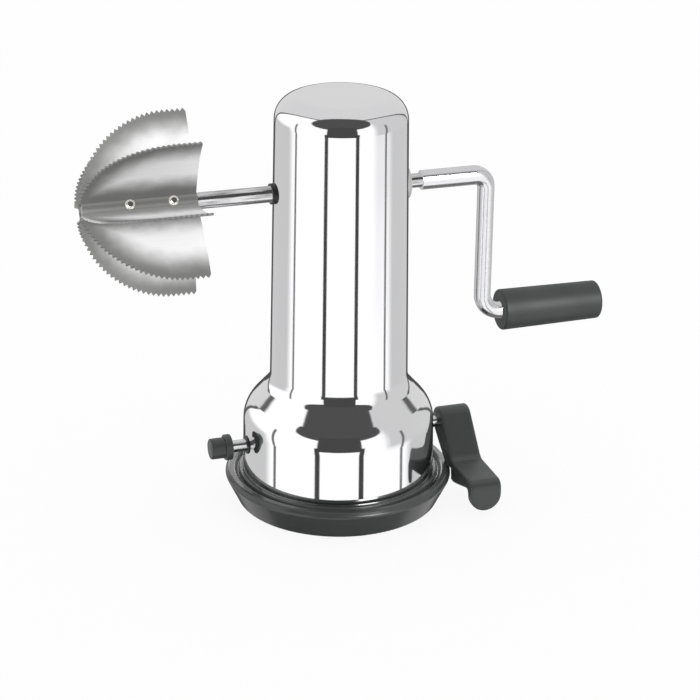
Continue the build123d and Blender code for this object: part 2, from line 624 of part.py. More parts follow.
def grip_screw():
    """Screw in the spindle's end that keeps the washer and the grip on."""
    seat = SPINDLE_END + GRIP_WASHER_WALL
    shank = rod(GRIP_SCREW_RADIUS, seat - GRIP_SCREW_LENGTH, seat)
    return along_x(shank + rod(GRIP_SCREW_HEAD, seat, seat + GRIP_SCREW_HEAD_WALL), GRIP_AXIS_HEIGHT)


def grip_washer():
    """Washer under the grip screw's head, wider than the grip's bore."""
    seat = SPINDLE_END + GRIP_WASHER_WALL
    washer = rod(GRIP_POCKET_RADIUS - GAP, SPINDLE_END, seat) - rod(GRIP_SCREW_RADIUS, SPINDLE_END, seat)
    return along_x(washer, GRIP_AXIS_HEIGHT)


def hand_grip():
    """Tapered moulded grip that turns freely on the spindle."""
    grip = turned([
        (0, GRIP_START, 0),
        (GRIP_START_RADIUS, GRIP_START, GRIP_START_ROUNDING),
        (GRIP_END_RADIUS, GRIP_END, GRIP_END_ROUNDING),
        (0, GRIP_END, 0),
    ])
    grip -= rod(SPINDLE_RADIUS + RUNNING, GRIP_START, GRIP_END)
    grip -= rod(CRANK_RADIUS + GAP, GRIP_START, GRIP_START + GRIP_SHOULDER)
    grip -= rod(GRIP_POCKET_RADIUS, GRIP_END - GRIP_POCKET_DEPTH, GRIP_END)
    return along_x(grip, GRIP_AXIS_HEIGHT)


def grip_cap():
    """Plug pressed into the grip's outer end over the screw."""
    return along_x(rod(GRIP_POCKET_RADIUS, GRIP_END - GRIP_CAP_WALL, GRIP_END), GRIP_AXIS_HEIGHT)


def end_knob():
    """Moulded knob on the cross shaft's far end, with a flange towards the skirt."""
    end = KNOB_START - KNOB_LENGTH
    knob = turned([
        (0, end, 0),
        (KNOB_RADIUS, end, KNOB_ROUNDING),
        (KNOB_RADIUS, KNOB_START - KNOB_FLANGE_WALL, 0),
        (KNOB_FLANGE_RADIUS, KNOB_START - KNOB_FLANGE_WALL, KNOB_FLANGE_ROUNDING),
        (KNOB_FLANGE_RADIUS, KNOB_START, KNOB_FLANGE_ROUNDING),
        (0, KNOB_START, 0),
    ])
    return along_x(knob - rod(CROSS_SHAFT_RADIUS, end + KNOB_END_WALL, KNOB_START), CROSS_SHAFT_HEIGHT)


def lever_side():
    """Side view of the lever about the cross shaft: across is towards the user, up is up."""
    drop = math.radians(LEVER_DROP)
    hub = LEVER_HUB_RADIUS
    front = (hub * math.sin(drop), hub * math.cos(drop))
    over = (-hub * math.cos(drop), hub * math.sin(drop))
    knee = (front[0] + LEVER_ARM_LENGTH * math.cos(drop), front[1] - LEVER_ARM_LENGTH * math.sin(drop))
    heel = (knee[0], knee[1] - LEVER_HEEL_DEPTH)
    toe = (knee[0] + LEVER_TREAD_LENGTH, knee[1])
    tip = (toe[0], toe[1] - LEVER_TIP_DROP)
    tip_back = (tip[0] - LEVER_TOE_WALL, tip[1])
    crotch = (tip_back[0], toe[1] - LEVER_TOE_WALL)
    tangent = math.atan2(heel[1], heel[0]) - math.acos(hub / math.hypot(*heel))
    back = (hub * math.cos(tangent), hub * math.sin(tangent))
    outline = Polyline(front, knee, toe, tip, tip_back, crotch, heel, back)
    side = make_face(outline + ThreePointArc(back, over, front))
    for point, rounding in (
        (knee, LEVER_KNEE_ROUNDING),
        (heel, LEVER_HEEL_ROUNDING),
        (toe, LEVER_TOE_ROUNDING),
        (crotch, LEVER_CROTCH_ROUNDING),
    ):
        side = fillet(side.vertices().sort_by_distance((*point, 0))[0], rounding)
    return side, tip


def lever_arm():
    """Moulded lever: round hub, arm, flat tread and a round tip that hangs down for the finger."""
    side, tip = lever_side()
    frame = Plane(origin=(LEVER_START, 0, CROSS_SHAFT_HEIGHT), x_dir=(0, -1, 0), z_dir=(-1, 0, 0))
    lever = extrude(frame * side, -LEVER_WIDTH)
    half = LEVER_WIDTH / 2
    round_centre = CROSS_SHAFT_HEIGHT + tip[1] + half
    front_view = Pos(LEVER_START + half, round_centre) * Circle(half)
    front_view += Pos(LEVER_START + half, round_centre + CROSS_SHAFT_HEIGHT / 2) * Rectangle(
        LEVER_WIDTH, CROSS_SHAFT_HEIGHT
    )
    lever &= extrude(Plane.XZ * front_view, 2 * tip[0], both=True)
    lever = fillet(lever.edges() - lever.edges().filter_by(Axis.X), LEVER_EDGE_RADIUS)
    lever -= rod(RING_WIDEST_RADIUS + GAP, 0, RING_LIP_HEIGHT + GAP)
    return lever - lever_bore()


def lever_bore():
    """Flatted shaft hole, screw hole and head pocket through the lever's hub."""
    pocket_radius = LEVER_SCREW_RADIUS + LEVER_WASHER_WIDTH + GAP
    hole = along_x(rod(CROSS_SHAFT_RADIUS, LEVER_START, LEVER_SEAT), CROSS_SHAFT_HEIGHT)
    hole -= shaft_flat(LEVER_SEAT)
    hole += along_x(rod(LEVER_SCREW_RADIUS, LEVER_SEAT, LEVER_POCKET), CROSS_SHAFT_HEIGHT)
    return hole + along_x(rod(pocket_radius, LEVER_POCKET, LEVER_END), CROSS_SHAFT_HEIGHT)


def lever_screw():
    """Screw through the hub's web into the end of the cross shaft."""
    head = LEVER_POCKET + LEVER_WASHER_WALL
    shank = rod(LEVER_SCREW_RADIUS, LEVER_POCKET - LEVER_SCREW_LENGTH, head)
    return along_x(shank + rod(LEVER_SCREW_HEAD, head, LEVER_END), CROSS_SHAFT_HEIGHT)


def lever_washer():
    """Washer between the lever screw's head and the hub's web."""
    end = LEVER_POCKET + LEVER_WASHER_WALL
    outer = LEVER_SCREW_RADIUS + LEVER_WASHER_WIDTH
    washer = rod(outer, LEVER_POCKET, end) - rod(LEVER_SCREW_RADIUS, LEVER_POCKET, end)
    return along_x(washer, CROSS_SHAFT_HEIGHT)


screws = base_screws()
channel = blade_channel()
nodes = {
    "body_tube": body_tube(),
    "body_skirt": body_skirt(),
    "base_ring": base_ring(screws),
    "base_plate": base_plate(screws),
    "base_screws": Compound(screws),
    "suction_pad": suction_pad(),
    "pad_disc": pad_disc(),
    "pull_stud": pull_stud(),
    "return_spring": return_spring(),
    "cam": cam(),
    "cam_pin": cam_pin(),
    "cross_shaft": cross_shaft(),
    "cross_shaft_clips": Compound(cross_clips()),
    "cross_shaft_bushes": Compound(cross_bushes()),
    "end_knob": end_knob(),
    "lever_arm": lever_arm(),
    "lever_screw": lever_screw(),
    "lever_washer": lever_washer(),
    "blade_side_bush": blade_bush(),
    "crank_side_bush": crank_bush(),
    "drive_shaft": drive_shaft(),
    "thrust_washer": thrust_washer(),
    "shaft_collar": shaft_collar(),
    "collar_screw": collar_screw(),
    "blade_welds": Compound(blade_welds()),
    "crank_arm": crank_arm(),
    "hand_grip": hand_grip(),
    "grip_washer": grip_washer(),
    "grip_screw": grip_screw(),
    "grip_cap": grip_cap(),
}
for number, place in enumerate(channel_places(), start=1):
    nodes[f"blade_channel_{number}"] = place * channel

os.makedirs("parts", exist_ok=True)
for name, shape in nodes.items():
    export_step(shape, f"parts/{name}.step")
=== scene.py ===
import math
import bmesh
import bpy
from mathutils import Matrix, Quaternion, Vector


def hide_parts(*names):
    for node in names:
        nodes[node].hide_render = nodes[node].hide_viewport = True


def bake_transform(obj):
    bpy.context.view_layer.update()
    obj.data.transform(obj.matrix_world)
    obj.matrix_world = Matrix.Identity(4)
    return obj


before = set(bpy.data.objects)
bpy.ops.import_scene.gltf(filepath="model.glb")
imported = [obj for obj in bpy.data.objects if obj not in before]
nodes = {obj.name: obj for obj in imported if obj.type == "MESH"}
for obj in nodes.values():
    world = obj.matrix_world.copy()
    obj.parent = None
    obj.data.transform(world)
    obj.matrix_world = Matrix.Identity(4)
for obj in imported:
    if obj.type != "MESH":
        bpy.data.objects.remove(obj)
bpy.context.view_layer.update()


# Body: a tube with a closed, rounded top, and a flared skirt, drawn from stainless sheet and
# joined at a seam. Buffed to a mirror all over: the eye reads it only by what it reflects.

def linear(hex_colour):
    """Linear colour of an sRGB colour written as six hex digits."""
    parts = [int(hex_colour[i:i + 2], 16) / 255 for i in (0, 2, 4)]
    return [c / 12.92 if c <= 0.04045 else ((c + 0.055) / 1.055) ** 2.4 for c in parts] + [1.0]


def per_mm(size):
    """Pattern scale, per metre, for features of this many millimetres."""
    return 1000.0 / size


def add(tree, kind, inputs=None, **settings):
    """Adds a node with its settings; each input takes a plain value or another node's output."""
    made = tree.nodes.new(kind)
    for name, value in settings.items():
        setattr(made, name, value)
    for key, value in (inputs or {}).items():
        if isinstance(value, bpy.types.NodeSocket):
            tree.links.new(value, made.inputs[key])
        else:
            made.inputs[key].default_value = value
    return made


def finish_for(name):
    """New material: its node tree, its shader, and the object's own coordinates."""
    made = bpy.data.materials.new(name)
    made.use_nodes = True
    tree = made.node_tree
    return made, tree, tree.nodes["Principled BSDF"], add(tree, "ShaderNodeTexCoord").outputs["Object"]


def dress(material, *names):
    """Gives CAD nodes their finished material."""
    for name in names:
        for place in nodes[name].material_slots:
            place.material = material


mirror_steel, tree, shader, place = finish_for("buffed_mirror_stainless")
shader.inputs["Metallic"].default_value = 1.0
cloudiness = add(tree, "ShaderNodeTexNoise", {"Vector": place, "Scale": per_mm(35), "Detail": 3.0})
haze = add(tree, "ShaderNodeMapRange", {
    "Value": cloudiness.outputs["Fac"], "From Min": 0.3, "From Max": 0.7, "To Min": 0.035, "To Max": 0.075})
tone = add(tree, "ShaderNodeMix", {
    "Factor": cloudiness.outputs["Fac"], "A": linear("F1F1F2"), "B": linear("E9E9EB")}, data_type="RGBA")
roll_waves = add(tree, "ShaderNodeTexNoise", {"Vector": place, "Scale": per_mm(30), "Detail": 0.0})
dents = add(tree, "ShaderNodeBump", {
    "Height": roll_waves.outputs["Fac"], "Distance": 0.00002, "Strength": 1.0})
tree.links.new(haze.outputs["Result"], shader.inputs["Roughness"])
tree.links.new(tone.outputs["Result"], shader.inputs["Base Color"])
tree.links.new(dents.outputs["Normal"], shader.inputs["Normal"])
dress(mirror_steel, "body_tube", "body_skirt")

# Bushes: turned nylon, pressed into the tube and skirt. Black on the blade side and on the cross
# shaft, undyed on the crank side; a matt, slightly waxy face with faint lathe lines.

def turned_nylon(name, shiniest, dullest, one_shade, other_shade):
    """Nylon as it leaves the lathe."""
    made, tree, shader, place = finish_for(name)
    turning = add(tree, "ShaderNodeTexWave", {"Vector": place, "Scale": per_mm(0.5), "Distortion": 0.6},
                  wave_type="BANDS", bands_direction="X")
    wax = add(tree, "ShaderNodeTexNoise", {"Vector": place, "Scale": per_mm(3), "Detail": 2.0})
    sheen = add(tree, "ShaderNodeMapRange", {
        "Value": wax.outputs["Fac"], "To Min": shiniest, "To Max": dullest})
    dye = add(tree, "ShaderNodeMix", {
        "Factor": wax.outputs["Fac"], "A": linear(one_shade), "B": linear(other_shade)}, data_type="RGBA")
    lines = add(tree, "ShaderNodeBump", {"Height": turning.outputs["Fac"], "Distance": 0.00001})
    tree.links.new(sheen.outputs["Result"], shader.inputs["Roughness"])
    tree.links.new(dye.outputs["Result"], shader.inputs["Base Color"])
    tree.links.new(lines.outputs["Normal"], shader.inputs["Normal"])
    return made, shader


def keep_out_of_mirrors(*names):
    """Keeps pieces out of what the polished steel mirrors, which is the studio alone."""
    for name in names:
        nodes[name].visible_glossy = False


black_nylon, shader = turned_nylon("black_turned_nylon", 0.36, 0.54, "1A1B1B", "262727")
dress(black_nylon, "blade_side_bush", "cross_shaft_bushes")
keep_out_of_mirrors("blade_side_bush")

pale_nylon, shader = turned_nylon("undyed_turned_nylon", 0.3, 0.48, "D8D8D4", "C6C6C2")
shader.inputs["Subsurface Weight"].default_value = 0.1
shader.inputs["Subsurface Scale"].default_value = 0.001
dress(pale_nylon, "crank_side_bush")

# Crank and cross shaft: bright drawn steel rod, cut to length, bent and buffed. Nearly a mirror, with
# hair-fine drawing lines that blur what it reflects a little, drawn coarse enough to show.

bright_rod, tree, shader, place = finish_for("bright_drawn_steel_rod")
shader.inputs["Metallic"].default_value = 1.0
draw = add(tree, "ShaderNodeMapping", {
    "Vector": place, "Scale": (per_mm(12), per_mm(0.35), per_mm(0.35))})
scratches = add(tree, "ShaderNodeTexNoise", {"Vector": draw.outputs["Vector"], "Scale": 1.0, "Detail": 2.0})
handling = add(tree, "ShaderNodeTexNoise", {"Vector": place, "Scale": per_mm(9), "Detail": 3.0})
gloss = add(tree, "ShaderNodeMapRange", {"Value": handling.outputs["Fac"], "To Min": 0.12, "To Max": 0.24})
tone = add(tree, "ShaderNodeMix", {
    "Factor": scratches.outputs["Fac"], "A": linear("EAEAEC"), "B": linear("D6D6D8")}, data_type="RGBA")
hair = add(tree, "ShaderNodeBump", {"Height": scratches.outputs["Fac"], "Distance": 0.000004})
tree.links.new(gloss.outputs["Result"], shader.inputs["Roughness"])
tree.links.new(tone.outputs["Result"], shader.inputs["Base Color"])
tree.links.new(hair.outputs["Normal"], shader.inputs["Normal"])
dress(bright_rod, "crank_arm", "cross_shaft")
keep_out_of_mirrors("crank_arm")

# Main shaft: steel rod, ground to size and left as ground where it runs in the bushes. Bright, with
# darker streaks along it where the wheel passed, drawn coarser than they are so that they show.

ground_shaft, tree, shader, place = finish_for("ground_steel_shaft")
shader.inputs["Metallic"].default_value = 1.0
grinding = add(tree, "ShaderNodeMapping", {
    "Vector": place, "Scale": (per_mm(14), per_mm(1.1), per_mm(1.1))})
streaks = add(tree, "ShaderNodeTexNoise", {"Vector": grinding.outputs["Vector"], "Scale": 1.0, "Detail": 4.0})
contrast = add(tree, "ShaderNodeMapRange", {
    "Value": streaks.outputs["Fac"], "From Min": 0.35, "From Max": 0.65})
tone = add(tree, "ShaderNodeMix", {
    "Factor": contrast.outputs["Result"], "A": linear("E6E6E8"), "B": linear("A6A6A6")}, data_type="RGBA")
gloss = add(tree, "ShaderNodeMapRange", {"Value": streaks.outputs["Fac"], "To Min": 0.1, "To Max": 0.24})
hair = add(tree, "ShaderNodeBump", {"Height": streaks.outputs["Fac"], "Distance": 0.00001})
tree.links.new(gloss.outputs["Result"], shader.inputs["Roughness"])
tree.links.new(tone.outputs["Result"], shader.inputs["Base Color"])
tree.links.new(hair.outputs["Normal"], shader.inputs["Normal"])
dress(ground_shaft, "drive_shaft")
keep_out_of_mirrors("drive_shaft")

# Washers, collar, screws, cam, stud and disc: turned or pressed steel with a thin zinc plating.
# Grey with a faint blue cast and a cloudy, satin gloss.

zinc_plate, tree, shader, place = finish_for("zinc_plated_steel")
shader.inputs["Metallic"].default_value = 1.0
spangle = add(tree, "ShaderNodeTexNoise", {"Vector": place, "Scale": per_mm(1.5), "Detail": 4.0})
tone = add(tree, "ShaderNodeMix", {
    "Factor": spangle.outputs["Fac"], "A": linear("C9CCD1"), "B": linear("A9ADB3")}, data_type="RGBA")
gloss = add(tree, "ShaderNodeMapRange", {"Value": spangle.outputs["Fac"], "To Min": 0.24, "To Max": 0.42})
pits = add(tree, "ShaderNodeBump", {"Height": spangle.outputs["Fac"], "Distance": 0.00001})
tree.links.new(tone.outputs["Result"], shader.inputs["Base Color"])
tree.links.new(gloss.outputs["Result"], shader.inputs["Roughness"])
tree.links.new(pits.outputs["Normal"], shader.inputs["Normal"])
dress(zinc_plate, "thrust_washer", "shaft_collar", "cam", "pull_stud", "pad_disc", "grip_washer",
      "grip_screw", "lever_screw", "lever_washer", "base_screws")
keep_out_of_mirrors("grip_washer", "grip_screw")

# Collar screw: a grub screw of hardened steel that locks the collar to the shaft. Blackened and oiled,
# dark brown-black where the oil dried.

black_oxide, tree, shader, place = finish_for("black_oxide_steel")
shader.inputs["Metallic"].default_value = 0.8
oil = add(tree, "ShaderNodeTexNoise", {"Vector": place, "Scale": per_mm(1), "Detail": 3.0})
tone = add(tree, "ShaderNodeMix", {
    "Factor": oil.outputs["Fac"], "A": linear("2B2A2A"), "B": linear("3A3735")}, data_type="RGBA")
gloss = add(tree, "ShaderNodeMapRange", {"Value": oil.outputs["Fac"], "To Min": 0.3, "To Max": 0.5})
tree.links.new(tone.outputs["Result"], shader.inputs["Base Color"])
tree.links.new(gloss.outputs["Result"], shader.inputs["Roughness"])
dress(black_oxide, "collar_screw")

# Blade head: four channels folded from stainless sheet, teeth stamped along the rims, then buffed.
# Satin, so less of a mirror than bare steel. The colour carries painted shade: darker towards the
# toothed rims and near the shaft, standing in for dark reflections there; the wings' middles stay bright.

shaft_height = 0.1639
dome_centre = -0.0855
teeth_radius = 0.0448
# Widths of the painted shade: along the toothed rims, and round the shaft at the root.
rim_shade_width = 0.017
rim_shade_edge = 0.002
root_shade_reach = 0.021
root_shade_core = 0.008

blade_steel, tree, shader, place = finish_for("buffed_blade_stainless")
shader.inputs["Metallic"].default_value = 0.5
parts = add(tree, "ShaderNodeSeparateXYZ", {"Vector": place})
beyond = add(tree, "ShaderNodeMath", {0: dome_centre, 1: parts.outputs["X"]}, operation="SUBTRACT")
dome_reach = add(tree, "ShaderNodeMath", {0: beyond.outputs[0], 1: 0.0}, operation="MAXIMUM")
rise = add(tree, "ShaderNodeMath", {0: parts.outputs["Z"], 1: shaft_height}, operation="SUBTRACT")
from_shaft = add(tree, "ShaderNodeCombineXYZ", {"Y": parts.outputs["Y"], "Z": rise.outputs[0]})
from_centre = add(tree, "ShaderNodeCombineXYZ", {
    "X": dome_reach.outputs[0], "Y": parts.outputs["Y"], "Z": rise.outputs[0]})
off_axis = add(tree, "ShaderNodeVectorMath", {0: from_shaft.outputs["Vector"]}, operation="LENGTH")
reach = add(tree, "ShaderNodeVectorMath", {0: from_centre.outputs["Vector"]}, operation="LENGTH")
clouds = add(tree, "ShaderNodeTexNoise", {"Vector": place, "Scale": per_mm(7), "Detail": 3.0})
shift = add(tree, "ShaderNodeMapRange", {"Value": clouds.outputs["Fac"], "To Min": -0.002, "To Max": 0.002})
# Painted shade towards the toothed rims, standing in for dark reflections there.
rim_reach = add(tree, "ShaderNodeMath", {
    0: reach.outputs["Value"], 1: shift.outputs["Result"]}, operation="ADD")
painted_rim_shade = add(tree, "ShaderNodeMapRange", {
    "Value": rim_reach.outputs[0],
    "From Min": teeth_radius - rim_shade_width, "From Max": teeth_radius - rim_shade_edge,
}, interpolation_type="SMOOTHSTEP")
# Painted shade round the shaft at the root, standing in for shade between the channels.
root_reach = add(tree, "ShaderNodeMath", {
    0: off_axis.outputs["Value"], 1: shift.outputs["Result"]}, operation="ADD")
painted_root_shade = add(tree, "ShaderNodeMapRange", {
    "Value": root_reach.outputs[0], "From Min": root_shade_reach, "From Max": root_shade_core,
}, interpolation_type="SMOOTHSTEP")
painted_shade = add(tree, "ShaderNodeMath", {0: painted_rim_shade.outputs["Result"], 1: painted_root_shade.outputs["Result"]}, operation="MAXIMUM")
along = add(tree, "ShaderNodeMapping", {"Vector": place, "Scale": (per_mm(16), per_mm(0.5), per_mm(0.5))})
buffing = add(tree, "ShaderNodeTexNoise", {"Vector": along.outputs["Vector"], "Scale": 1.0, "Detail": 2.0})
bright = add(tree, "ShaderNodeMix", {
    "Factor": buffing.outputs["Fac"], "A": linear("FAFAFA"), "B": linear("EDEDED")}, data_type="RGBA")
# The painted shade darkens the colour to grey at the rims and at the root.
tone = add(tree, "ShaderNodeMix", {
    "Factor": painted_shade.outputs[0], "A": bright.outputs["Result"], "B": linear("7E7E7D")}, data_type="RGBA")
gloss = add(tree, "ShaderNodeMapRange", {"Value": painted_shade.outputs[0], "To Min": 0.4, "To Max": 0.3})
hair = add(tree, "ShaderNodeBump", {"Height": buffing.outputs["Fac"], "Distance": 0.000006})
tree.links.new(tone.outputs["Result"], shader.inputs["Base Color"])
tree.links.new(gloss.outputs["Result"], shader.inputs["Roughness"])
tree.links.new(hair.outputs["Normal"], shader.inputs["Normal"])
channels = ("blade_channel_1", "blade_channel_2", "blade_channel_3", "blade_channel_4")
dress(blade_steel, *channels)
keep_out_of_mirrors(*channels)

# Welds: eight spot beads between channels and shaft, brushed clean. Small bright domes with a
# straw-coloured edge and a rippled crown.

weld_bead, tree, shader, place = finish_for("brushed_weld_bead")
shader.inputs["Metallic"].default_value = 1.0
ripple = add(tree, "ShaderNodeTexNoise", {"Vector": place, "Scale": per_mm(0.9), "Detail": 2.0})
tone = add(tree, "ShaderNodeMix", {
    "Factor": ripple.outputs["Fac"], "A": linear("F6F5F2"), "B": linear("D9D3C6")}, data_type="RGBA")
gloss = add(tree, "ShaderNodeMapRange", {"Value": ripple.outputs["Fac"], "To Min": 0.1, "To Max": 0.25})
crown = add(tree, "ShaderNodeBump", {"Height": ripple.outputs["Fac"], "Distance": 0.00008})
tree.links.new(tone.outputs["Result"], shader.inputs["Base Color"])
tree.links.new(gloss.outputs["Result"], shader.inputs["Roughness"])
tree.links.new(crown.outputs["Normal"], shader.inputs["Normal"])
dress(weld_bead, "blade_welds")
keep_out_of_mirrors("blade_welds")

# Hand grip and its end cap: black polypropylene, moulded in a spark-eroded tool. Matt, with a fine
# even grain, drawn coarse enough to show, and a little shine where the palm polished it.

grip_plastic, tree, shader, place = finish_for("grained_black_polypropylene")
grain = add(tree, "ShaderNodeTexNoise", {"Vector": place, "Scale": per_mm(0.45), "Detail": 2.0})
palm = add(tree, "ShaderNodeTexNoise", {"Vector": place, "Scale": per_mm(16), "Detail": 3.0})
tone = add(tree, "ShaderNodeMix", {
    "Factor": palm.outputs["Fac"], "A": linear("323534"), "B": linear("2A2D2C")}, data_type="RGBA")
gloss = add(tree, "ShaderNodeMapRange", {"Value": palm.outputs["Fac"], "To Min": 0.4, "To Max": 0.58})
texture = add(tree, "ShaderNodeBump", {"Height": grain.outputs["Fac"], "Distance": 0.00003})
tree.links.new(tone.outputs["Result"], shader.inputs["Base Color"])
tree.links.new(gloss.outputs["Result"], shader.inputs["Roughness"])
tree.links.new(texture.outputs["Normal"], shader.inputs["Normal"])
dress(grip_plastic, "hand_grip", "grip_cap")
keep_out_of_mirrors("hand_grip", "grip_cap")

# Cam pin and shaft clips: rolled and stamped spring steel. The pin is driven through cam and shaft,
# the clips snap into the shaft's grooves. Blue-grey and thinly oiled.

spring_steel, tree, shader, place = finish_for("oiled_spring_steel")
shader.inputs["Metallic"].default_value = 1.0
film = add(tree, "ShaderNodeTexNoise", {"Vector": place, "Scale": per_mm(1.2), "Detail": 3.0})
tone = add(tree, "ShaderNodeMix", {
    "Factor": film.outputs["Fac"], "A": linear("8D9096"), "B": linear("74757A")}, data_type="RGBA")
gloss = add(tree, "ShaderNodeMapRange", {"Value": film.outputs["Fac"], "To Min": 0.2, "To Max": 0.38})
tree.links.new(tone.outputs["Result"], shader.inputs["Base Color"])
tree.links.new(gloss.outputs["Result"], shader.inputs["Roughness"])
dress(spring_steel, "cam_pin", "cross_shaft_clips")

# Lever, end knob and base plate: black ABS, moulded in a lightly blasted tool. Satin, with small
# scuffs that catch the light on the tread and the edges.

lever_plastic, tree, shader, place = finish_for("satin_black_abs")
grain = add(tree, "ShaderNodeTexNoise", {"Vector": place, "Scale": per_mm(0.6), "Detail": 2.0})
scuffs = add(tree, "ShaderNodeTexNoise", {"Vector": place, "Scale": per_mm(10), "Detail": 5.0})
tone = add(tree, "ShaderNodeMix", {
    "Factor": scuffs.outputs["Fac"], "A": linear("444746"), "B": linear("3B3E3D")}, data_type="RGBA")
gloss = add(tree, "ShaderNodeMapRange", {"Value": scuffs.outputs["Fac"], "To Min": 0.28, "To Max": 0.46})
texture = add(tree, "ShaderNodeBump", {"Height": grain.outputs["Fac"], "Distance": 0.00002})
tree.links.new(tone.outputs["Result"], shader.inputs["Base Color"])
tree.links.new(gloss.outputs["Result"], shader.inputs["Roughness"])
tree.links.new(texture.outputs["Normal"], shader.inputs["Normal"])
dress(lever_plastic, "lever_arm", "end_knob", "base_plate")

# Base ring: thick black moulded rubberised plastic that the skirt drops into. Glossier than the
# lever on its rolled lip, with an orange-peel surface that breaks the highlight up.

ring_plastic, tree, shader, place = finish_for("glossy_black_moulded_ring")
peel = add(tree, "ShaderNodeTexNoise", {"Vector": place, "Scale": per_mm(1.6), "Detail": 2.0})
marks = add(tree, "ShaderNodeTexNoise", {"Vector": place, "Scale": per_mm(12), "Detail": 4.0})
tone = add(tree, "ShaderNodeMix", {
    "Factor": marks.outputs["Fac"], "A": linear("393B3A"), "B": linear("303231")}, data_type="RGBA")
gloss = add(tree, "ShaderNodeMapRange", {"Value": marks.outputs["Fac"], "To Min": 0.14, "To Max": 0.28})
texture = add(tree, "ShaderNodeBump", {"Height": peel.outputs["Fac"], "Distance": 0.00003})
tree.links.new(tone.outputs["Result"], shader.inputs["Base Color"])
tree.links.new(gloss.outputs["Result"], shader.inputs["Roughness"])
tree.links.new(texture.outputs["Normal"], shader.inputs["Normal"])
dress(ring_plastic, "base_ring")

# Suction pad: soft black rubber, moulded in one piece with a thin flat lip and a raised crown that
# the steel disc is bonded to.

# Radius, height and corner rounding in millimetres, up the pad's outer side and back to its middle.
pad_side = [
    (0, 4.0, 0), (15.5, 4.0, 1.5), (34.0, 0, 1.5), (41.0, 0, 0.3), (41.0, 2.2, 0.8), (34.0, 2.2, 1.5),
    (15.5, 7.5, 0.2), (3.05, 7.5, 0.1), (3.05, 5.75, 0.1), (0, 5.75, 0)]
corner_steps = 5
around = 128
section = []
for index, (radius, height, rounding) in enumerate(pad_side):
    corner = Vector((radius, height))
    if not rounding:
        section.append(corner)
        continue
    before = (Vector(pad_side[index - 1][:2]) - corner).normalized() * rounding
    after = (Vector(pad_side[index + 1][:2]) - corner).normalized() * rounding
    for step in range(corner_steps + 1):
        share = step / corner_steps
        section.append(corner + before * (1 - share) ** 2 + after * share ** 2)
build = bmesh.new()
rings = []
for radius, height in section:
    if radius < 1e-6:
        rings.append([build.verts.new((0, 0, height / 1000))])
        continue
    rings.append([build.verts.new((
        radius / 1000 * math.cos(2 * math.pi * turn / around),
        radius / 1000 * math.sin(2 * math.pi * turn / around),
        height / 1000)) for turn in range(around)])
for lower, upper in zip(rings, rings[1:]):
    for turn in range(around):
        following = (turn + 1) % around
        if len(lower) == 1:
            build.faces.new((lower[0], upper[turn], upper[following]))
        elif len(upper) == 1:
            build.faces.new((lower[turn], upper[0], lower[following]))
        else:
            build.faces.new((lower[turn], upper[turn], upper[following], lower[following]))
bmesh.ops.recalc_face_normals(build, faces=build.faces)
for face in build.faces:
    face.smooth = True
pad_mesh = bpy.data.meshes.new("rubber_pad")
build.to_mesh(pad_mesh)
build.free()
rubber_pad = bpy.data.objects.new("rubber_pad", pad_mesh)
bpy.context.scene.collection.objects.link(rubber_pad)

pad_rubber, tree, shader, place = finish_for("soft_black_rubber")
bloom = add(tree, "ShaderNodeTexNoise", {"Vector": place, "Scale": per_mm(6), "Detail": 4.0})
tone = add(tree, "ShaderNodeMix", {
    "Factor": bloom.outputs["Fac"], "A": linear("1C1C1C"), "B": linear("2A2A29")}, data_type="RGBA")
gloss = add(tree, "ShaderNodeMapRange", {"Value": bloom.outputs["Fac"], "To Min": 0.5, "To Max": 0.75})
texture = add(tree, "ShaderNodeBump", {"Height": bloom.outputs["Fac"], "Distance": 0.00004})
tree.links.new(tone.outputs["Result"], shader.inputs["Base Color"])
tree.links.new(gloss.outputs["Result"], shader.inputs["Roughness"])
tree.links.new(texture.outputs["Normal"], shader.inputs["Normal"])
rubber_pad.data.materials.append(pad_rubber)
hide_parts("suction_pad")
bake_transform(rubber_pad)

# Return spring: coiled from drawn spring wire, its end turns closed flat, between the pad's disc
# and the plate's roof.

coil_radius = 0.009
wire_radius = 0.0006
coil_bottom = 0.0096
coil_top = 0.0159
open_turns = 3.0
closed_turns = 0.5
steps_per_turn = 48
wire_sides = 12
all_turns = open_turns + 2 * closed_turns
build = bmesh.new()
hoops = []
for step in range(int(all_turns * steps_per_turn) + 1):
    turned = step / steps_per_turn
    share = min(max((turned - closed_turns) / open_turns, 0.0), 1.0)
    height = coil_bottom + share * (coil_top - coil_bottom)
    angle = 2 * math.pi * turned
    outward = Vector((math.cos(angle), math.sin(angle), 0))
    hoops.append([build.verts.new(
        outward * (coil_radius + wire_radius * math.cos(2 * math.pi * side / wire_sides))
        + Vector((0, 0, height + wire_radius * math.sin(2 * math.pi * side / wire_sides)))
    ) for side in range(wire_sides)])
for lower, upper in zip(hoops, hoops[1:]):
    for side in range(wire_sides):
        following = (side + 1) % wire_sides
        build.faces.new((lower[side], upper[side], upper[following], lower[following]))
build.faces.new(hoops[0])
build.faces.new(hoops[-1][::-1])
bmesh.ops.recalc_face_normals(build, faces=build.faces)
for face in build.faces:
    face.smooth = len(face.verts) == 4
spring_mesh = bpy.data.meshes.new("pad_spring")
build.to_mesh(spring_mesh)
build.free()
pad_spring = bpy.data.objects.new("pad_spring", spring_mesh)
bpy.context.scene.collection.objects.link(pad_spring)
pad_spring.data.materials.append(spring_steel)
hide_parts("return_spring")
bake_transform(pad_spring)

# Camera: at the photograph's viewing angle, aimed at a point on the body's axis. Its small roll and
# sideways shift put the grater where it stands in the photograph's frame.

